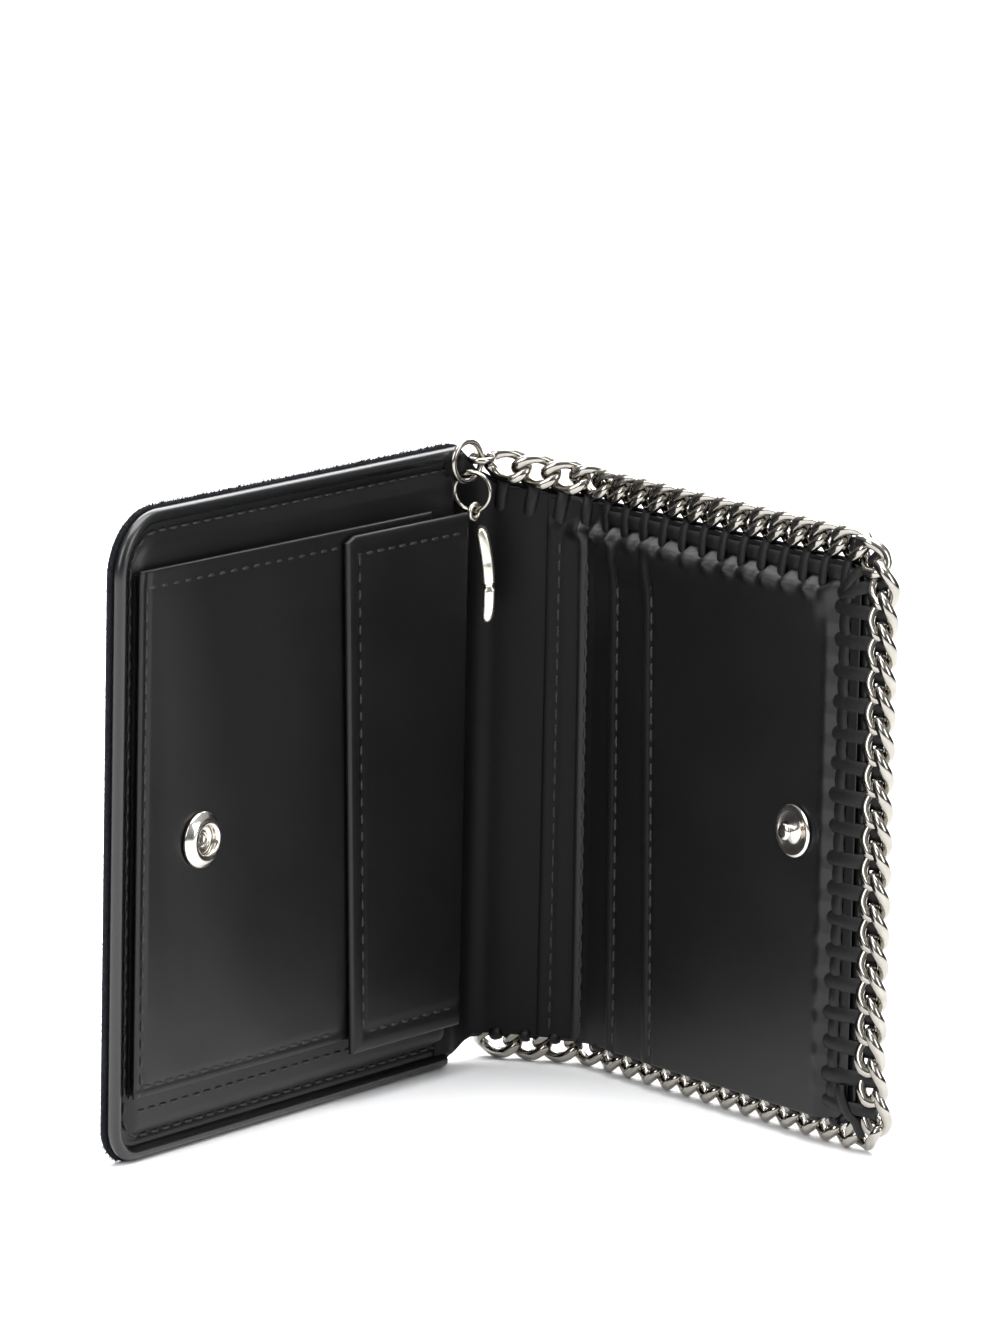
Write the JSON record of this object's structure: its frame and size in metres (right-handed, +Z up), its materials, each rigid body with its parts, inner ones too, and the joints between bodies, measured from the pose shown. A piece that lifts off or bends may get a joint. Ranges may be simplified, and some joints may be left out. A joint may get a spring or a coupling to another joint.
{
  "type": "chain wallet",
  "caption": "Small bifold wallet standing open on its side edge: coin pocket and card slots, snap closure, curb chain laced along the flap and spine, hanging rings and plain charm.",
  "frame": {"origin": "on the floor, below the middle of the standing wallet's bounding box", "axes": "+Z up, along the fold; the open V faces -Y, its spine is towards +Y; +X from the coin-pocket panel towards the chain-edged flap"},
  "size_m": [0.1316, 0.0844, 0.1113],
  "materials": {
    "cover_fabric": "short napped textile",
    "panel_leather": "fine grained, semi-matte",
    "edge_gloss": "glossy turned edge",
    "stiffener_board": "plain board",
    "lacing_leather": "smooth lace",
    "chain_steel": "polished, faceted",
    "snap_nickel": "polished",
    "charm_silver": "polished, slightly dulled"
  },
  "bodies": {
    "back": {"back_cover": "cover_fabric", "back_stiffener": "stiffener_board", "back_edge_binding": "edge_gloss", "back_lining": "panel_leather", "coin_pocket_wall": "panel_leather", "lower_gusset": "panel_leather", "upper_gusset": "panel_leather"},
    "coin_pocket": {"coin_pocket_front": "panel_leather", "snap_socket": "snap_nickel"},
    "coin_flap": {"coin_flap": "panel_leather"},
    "spine": {"spine_cover": "cover_fabric", "spine_lining": "panel_leather", "card_slot_1": "panel_leather", "spine_chain_upper": "chain_steel", "spine_chain_lower": "chain_steel", "chain_end_link": "chain_steel"},
    "flap": {"flap_cover": "cover_fabric", "flap_lining": "panel_leather", "flap_lacing": "lacing_leather", "card_slot_2": "panel_leather", "card_slot_3": "panel_leather", "card_slot_4": "panel_leather", "flap_chain": "chain_steel", "snap_stud": "snap_nickel"},
    "large_ring": {"large_ring": "chain_steel"},
    "small_ring": {"small_ring": "chain_steel"},
    "charm": {"charm_bail": "charm_silver", "charm_tag": "charm_silver"}
  },
  "joints": [
    {"name": "fold", "type": "hinge", "parent": "back", "child": "spine", "pos_m": [-0.00501, 0.03477, 0], "axis": [0, 0, 1], "range_deg": [-112.4, 67]},
    {"name": "flap_crease", "type": "hinge", "parent": "spine", "child": "flap", "pos_m": [0.0146, 0.036, 0], "axis": [0, 0, 1], "range_deg": [-22.7, 38.1]},
    {"name": "coin_flap_hinge", "type": "hinge", "parent": "back", "child": "coin_flap", "pos_m": [-0.00736, 0.028, 0], "axis": [0, 0, 1], "range_deg": [0, 95]},
    {"name": "coin_pocket_mouth", "type": "hinge", "parent": "back", "child": "coin_pocket", "pos_m": [-0.06062, -0.03961, 0], "axis": [0, 0, 1], "range_deg": [-5.8, 0], "deforming": ["lower_gusset", "upper_gusset"]},
    {"name": "large_ring_swing", "type": "hinge", "parent": "back", "child": "large_ring", "pos_m": [-0.00501, 0.03477, 0.1073], "axis": [-0.682, -0.7314, 0], "range_deg": [-4, 12]},
    {"name": "small_ring_swing", "type": "hinge", "parent": "large_ring", "child": "small_ring", "pos_m": [-0.00736, 0.03225, 0.1042], "axis": [-0.5878, -0.809, 0], "range_deg": [-4, 15]},
    {"name": "charm_swing", "type": "hinge", "parent": "small_ring", "child": "charm", "pos_m": [-0.00601, 0.03145, 0.0989], "axis": [0, -1, 0], "range_deg": [-3, 30]}
  ],
  "couplings": [
    {"joint": "flap_crease", "follows": "fold", "ratio": -0.3381},
    {"joint": "coin_pocket_mouth", "follows": "coin_flap_hinge", "ratio": -0.06}
  ]
}
